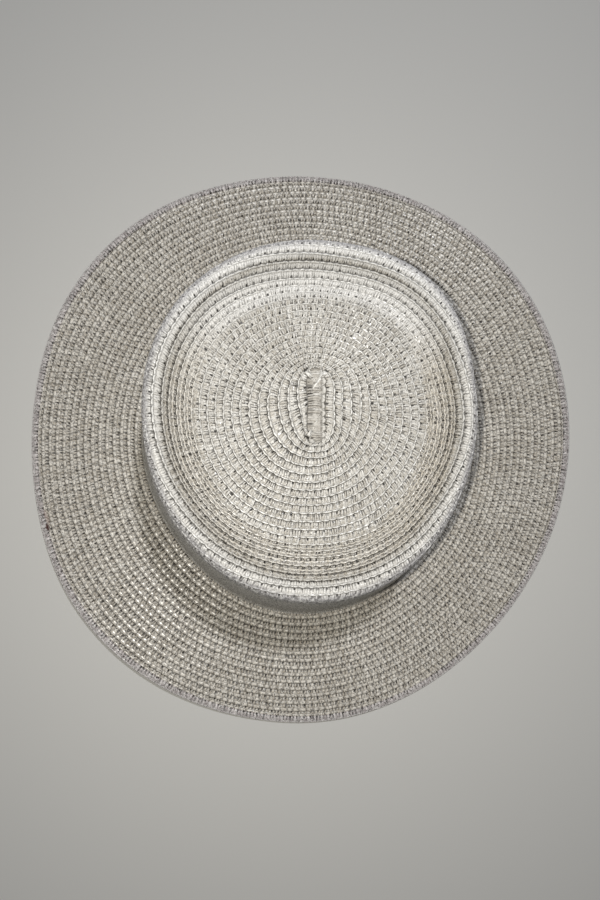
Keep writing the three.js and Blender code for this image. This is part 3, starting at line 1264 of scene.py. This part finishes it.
@dataclass
class Brim:
    """The brim's braid, from the head opening to the edge round."""

    form: HatForm
    middle: float = 49.95
    tile_length: float = 3.65
    tile: BraidTile = BraidTile(
        columns=4,
        top=(
            (-0.13, -0.62), (0.04, -0.4), (0.14, -0.05), (0.3, 0.08), (0.45, -0.06), (0.58, 0.08), (0.73, 0.22),
            (0.87, 0.18), (0.96, 0.02),
        ),
    )
    plaiting: Plaiting = Plaiting(
        straws=2, straws_at=(0.27, 0.24), cord_at=(0.74, 0.25), rib=0.17, cord_twist=0.05, seed=23,
    )

    def build(self) -> list[Object]:
        """Lays the brim's braid.

        Returns:
            The brim's pieces.
        """
        course = Course(LaidSurface(self.form, Ground.BRIM), BrimRounds(self.form), tile=self.tile_length)
        finish = BRIM_STRAW.material()
        ends = [course.rounds.first, self.middle, course.rounds.last]
        pieces = []
        for name, start, end in zip(["brim_braid_inner", "brim_braid_outer"], ends, ends[1:]):
            piece = laid_braid(name, course, self.tile, self.plaiting, course.count(start), course.count(end))
            pieces.append(dressed(piece, finish, ["brim"]))
        return pieces


@dataclass
class EdgeRound:
    """The outermost round, with the braid doubled over the brim's edge."""

    form: HatForm
    columns: int = 6
    steps: int = 1440
    weld: float = 0.1 * MM
    section: tuple[tuple[float, float], ...] = (
        (-0.1, 0.3), (0.02, 0.62), (0.15, 0.9), (0.38, 1.0), (0.58, 0.97), (0.68, 0.88), (0.76, 0.98), (0.88, 0.96),
        (0.96, 0.8), (1.0, 0.55),
    )
    under: tuple[tuple[float, float], ...] = ((1.0, 0.35), (0.9, 0.08), (0.6, 0.0), (0.1, 0.05))

    def build(self) -> list[Object]:
        """Lays the edge round.

        Returns:
            The edge's pieces.
        """
        tile = BraidTile(columns=self.columns, top=self.section, under=self.under)
        angles = np.linspace(0, FULL_TURN, self.steps + 1)
        middle = np.full(self.steps + 1, self.form.brim_outer - self.form.edge_width / 2)
        way = self.form.brim(middle, angles, self.form.edge_thickness)
        length = np.concatenate([[0], np.cumsum(np.linalg.norm(np.diff(way, axis=0), axis=1))])
        count = round(length[-1] / TILE)
        mesh = repeated(tile.mesh(), count)
        along, across, height = straight_places(mesh)
        angle = -np.interp(along / count * length[-1], length, angles)
        radius = self.form.brim_outer - self.form.edge_width * (1 - across)
        points = self.form.brim(radius, angle, height * self.form.edge_thickness)
        points[:, 2] = np.maximum(points[:, 2], 0.0)
        put(mesh, points, radius)
        piece = finished(mesh, "edge_round_braid", weld=self.weld)
        return [dressed(piece, EDGE_STRAW.material(), ["brim_edge"])]


# ---- the studio


@dataclass(frozen=True)
class SoftLight:
    """An area light of the studio."""

    name: str
    at: tuple[float, float, float]
    size: float
    watts: float
    colour: str
    aims_at: tuple[float, float, float] = (0.0, 0.0, 0.03)

    def build(self) -> None:
        """Puts the light in place, turned to what it lights."""
        lamp = bpy.data.lights.new(self.name, "AREA")
        lamp.shape = "DISK"
        lamp.size = self.size
        lamp.energy = self.watts
        lamp.color = linear(self.colour)[:3]
        placed = bpy.data.objects.new(self.name, lamp)
        placed.location = self.at
        placed.rotation_euler = (Vector(self.aims_at) - Vector(self.at)).to_track_quat("-Z", "Y").to_euler()
        bpy.context.scene.collection.objects.link(placed)


@dataclass(frozen=True)
class Studio:
    """A plain pale floor, soft light and the camera, looking down as in the photograph."""

    camera_at: tuple[float, float, float] = (-0.0265, -0.0471, 0.3799)
    camera_to: tuple[float, float, float] = (-0.0038, -0.0072, 0.0)
    lens: float = 26.0
    sensor_height: float = 36.0
    floor_size: float = 4.0
    floor_colour: str = "d9d8d4"
    world: str = "ffffff"
    world_strength: float = 0.03
    lights: tuple[SoftLight, ...] = (
        SoftLight("window", (0.158, 0.411, 1.1), 0.1, 5.0, "f8faff"),
        SoftLight("near_lamp", (-0.0435, -0.044, 0.38), 0.008, 0.68, "fffbf2"),
    )

    def build(self) -> None:
        """Builds the floor, the lights and the camera."""
        bpy.context.scene.view_settings.view_transform = "Standard"
        self.floor()
        for light in self.lights:
            light.build()
        world = bpy.data.worlds.new("studio")
        world.use_nodes = True
        ground = world.node_tree.nodes["Background"]
        ground.inputs[0].default_value = linear(self.world)
        ground.inputs[1].default_value = self.world_strength
        bpy.context.scene.world = world
        data = bpy.data.cameras.new("camera")
        data.sensor_fit = "VERTICAL"
        data.sensor_height = self.sensor_height
        data.lens = self.lens
        data.clip_start = 0.01
        camera = bpy.data.objects.new("camera", data)
        ahead = Vector(self.camera_to) - Vector(self.camera_at)
        right = ahead.cross(Vector((0, 1, 0))).normalized()
        up = right.cross(ahead).normalized()
        turned = Matrix((right, up, -ahead.normalized())).transposed()
        camera.matrix_world = Matrix.Translation(self.camera_at) @ turned.to_4x4()
        bpy.context.scene.collection.objects.link(camera)
        bpy.context.scene.camera = camera

    def floor(self) -> None:
        """Lays the plain pale floor."""
        bm = bmesh.new()
        bmesh.ops.create_grid(bm, x_segments=1, y_segments=1, size=self.floor_size / 2)
        mesh = bpy.data.meshes.new("floor")
        bm.to_mesh(mesh)
        bm.free()
        floor = bpy.data.objects.new("floor", mesh)
        bpy.context.scene.collection.objects.link(floor)
        paint = bpy.data.materials.new("matt_floor_paint")
        paint.use_nodes = True
        shader = paint.node_tree.nodes["Principled BSDF"]
        shader.inputs["Base Color"].default_value = linear(self.floor_colour)
        shader.inputs["Roughness"].default_value = 0.9
        mesh.materials.append(paint)


def main() -> None:
    """Builds the hat and the studio, and reports each piece."""
    logging.basicConfig(level=logging.INFO, format="%(name)s: %(message)s")
    form = HatForm()
    for part in (Crown(form), Brim(form), EdgeRound(form)):
        pieces = part.build()
        LOG.info("%s: %d pieces", type(part).__name__, len(pieces))
    Studio().build()


if __name__ == "__main__":
    main()
